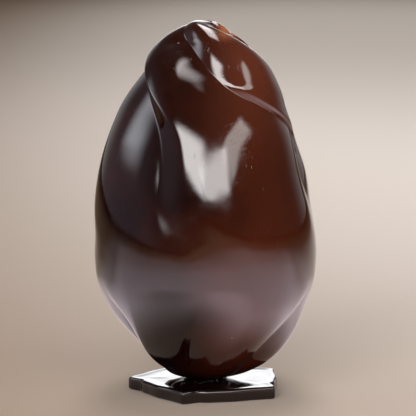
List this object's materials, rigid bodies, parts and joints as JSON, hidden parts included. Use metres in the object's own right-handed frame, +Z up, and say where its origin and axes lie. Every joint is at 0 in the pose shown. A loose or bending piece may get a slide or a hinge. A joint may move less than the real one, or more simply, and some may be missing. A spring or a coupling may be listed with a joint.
{
  "type": "chocolate egg",
  "caption": "Tall glossy dark chocolate egg with twisted, overlapping lobes, standing upright on a small flat chocolate foot with wavy edges.",
  "frame": {"origin": "on the foot's flat underside, straight below the egg's own axis", "axes": "+Z up through the egg, -Y towards the front, the side the picture shows"},
  "size_m": [0.1264, 0.1268, 0.2116],
  "materials": {
    "dark_chocolate": "tempered dark chocolate, high gloss from the mould, with fine scuffs",
    "foot_chocolate": "very dark tempered chocolate, mirror gloss on top"
  },
  "bodies": {
    "root": {"egg": "dark_chocolate", "foot": "foot_chocolate"}
  },
  "joints": []
}
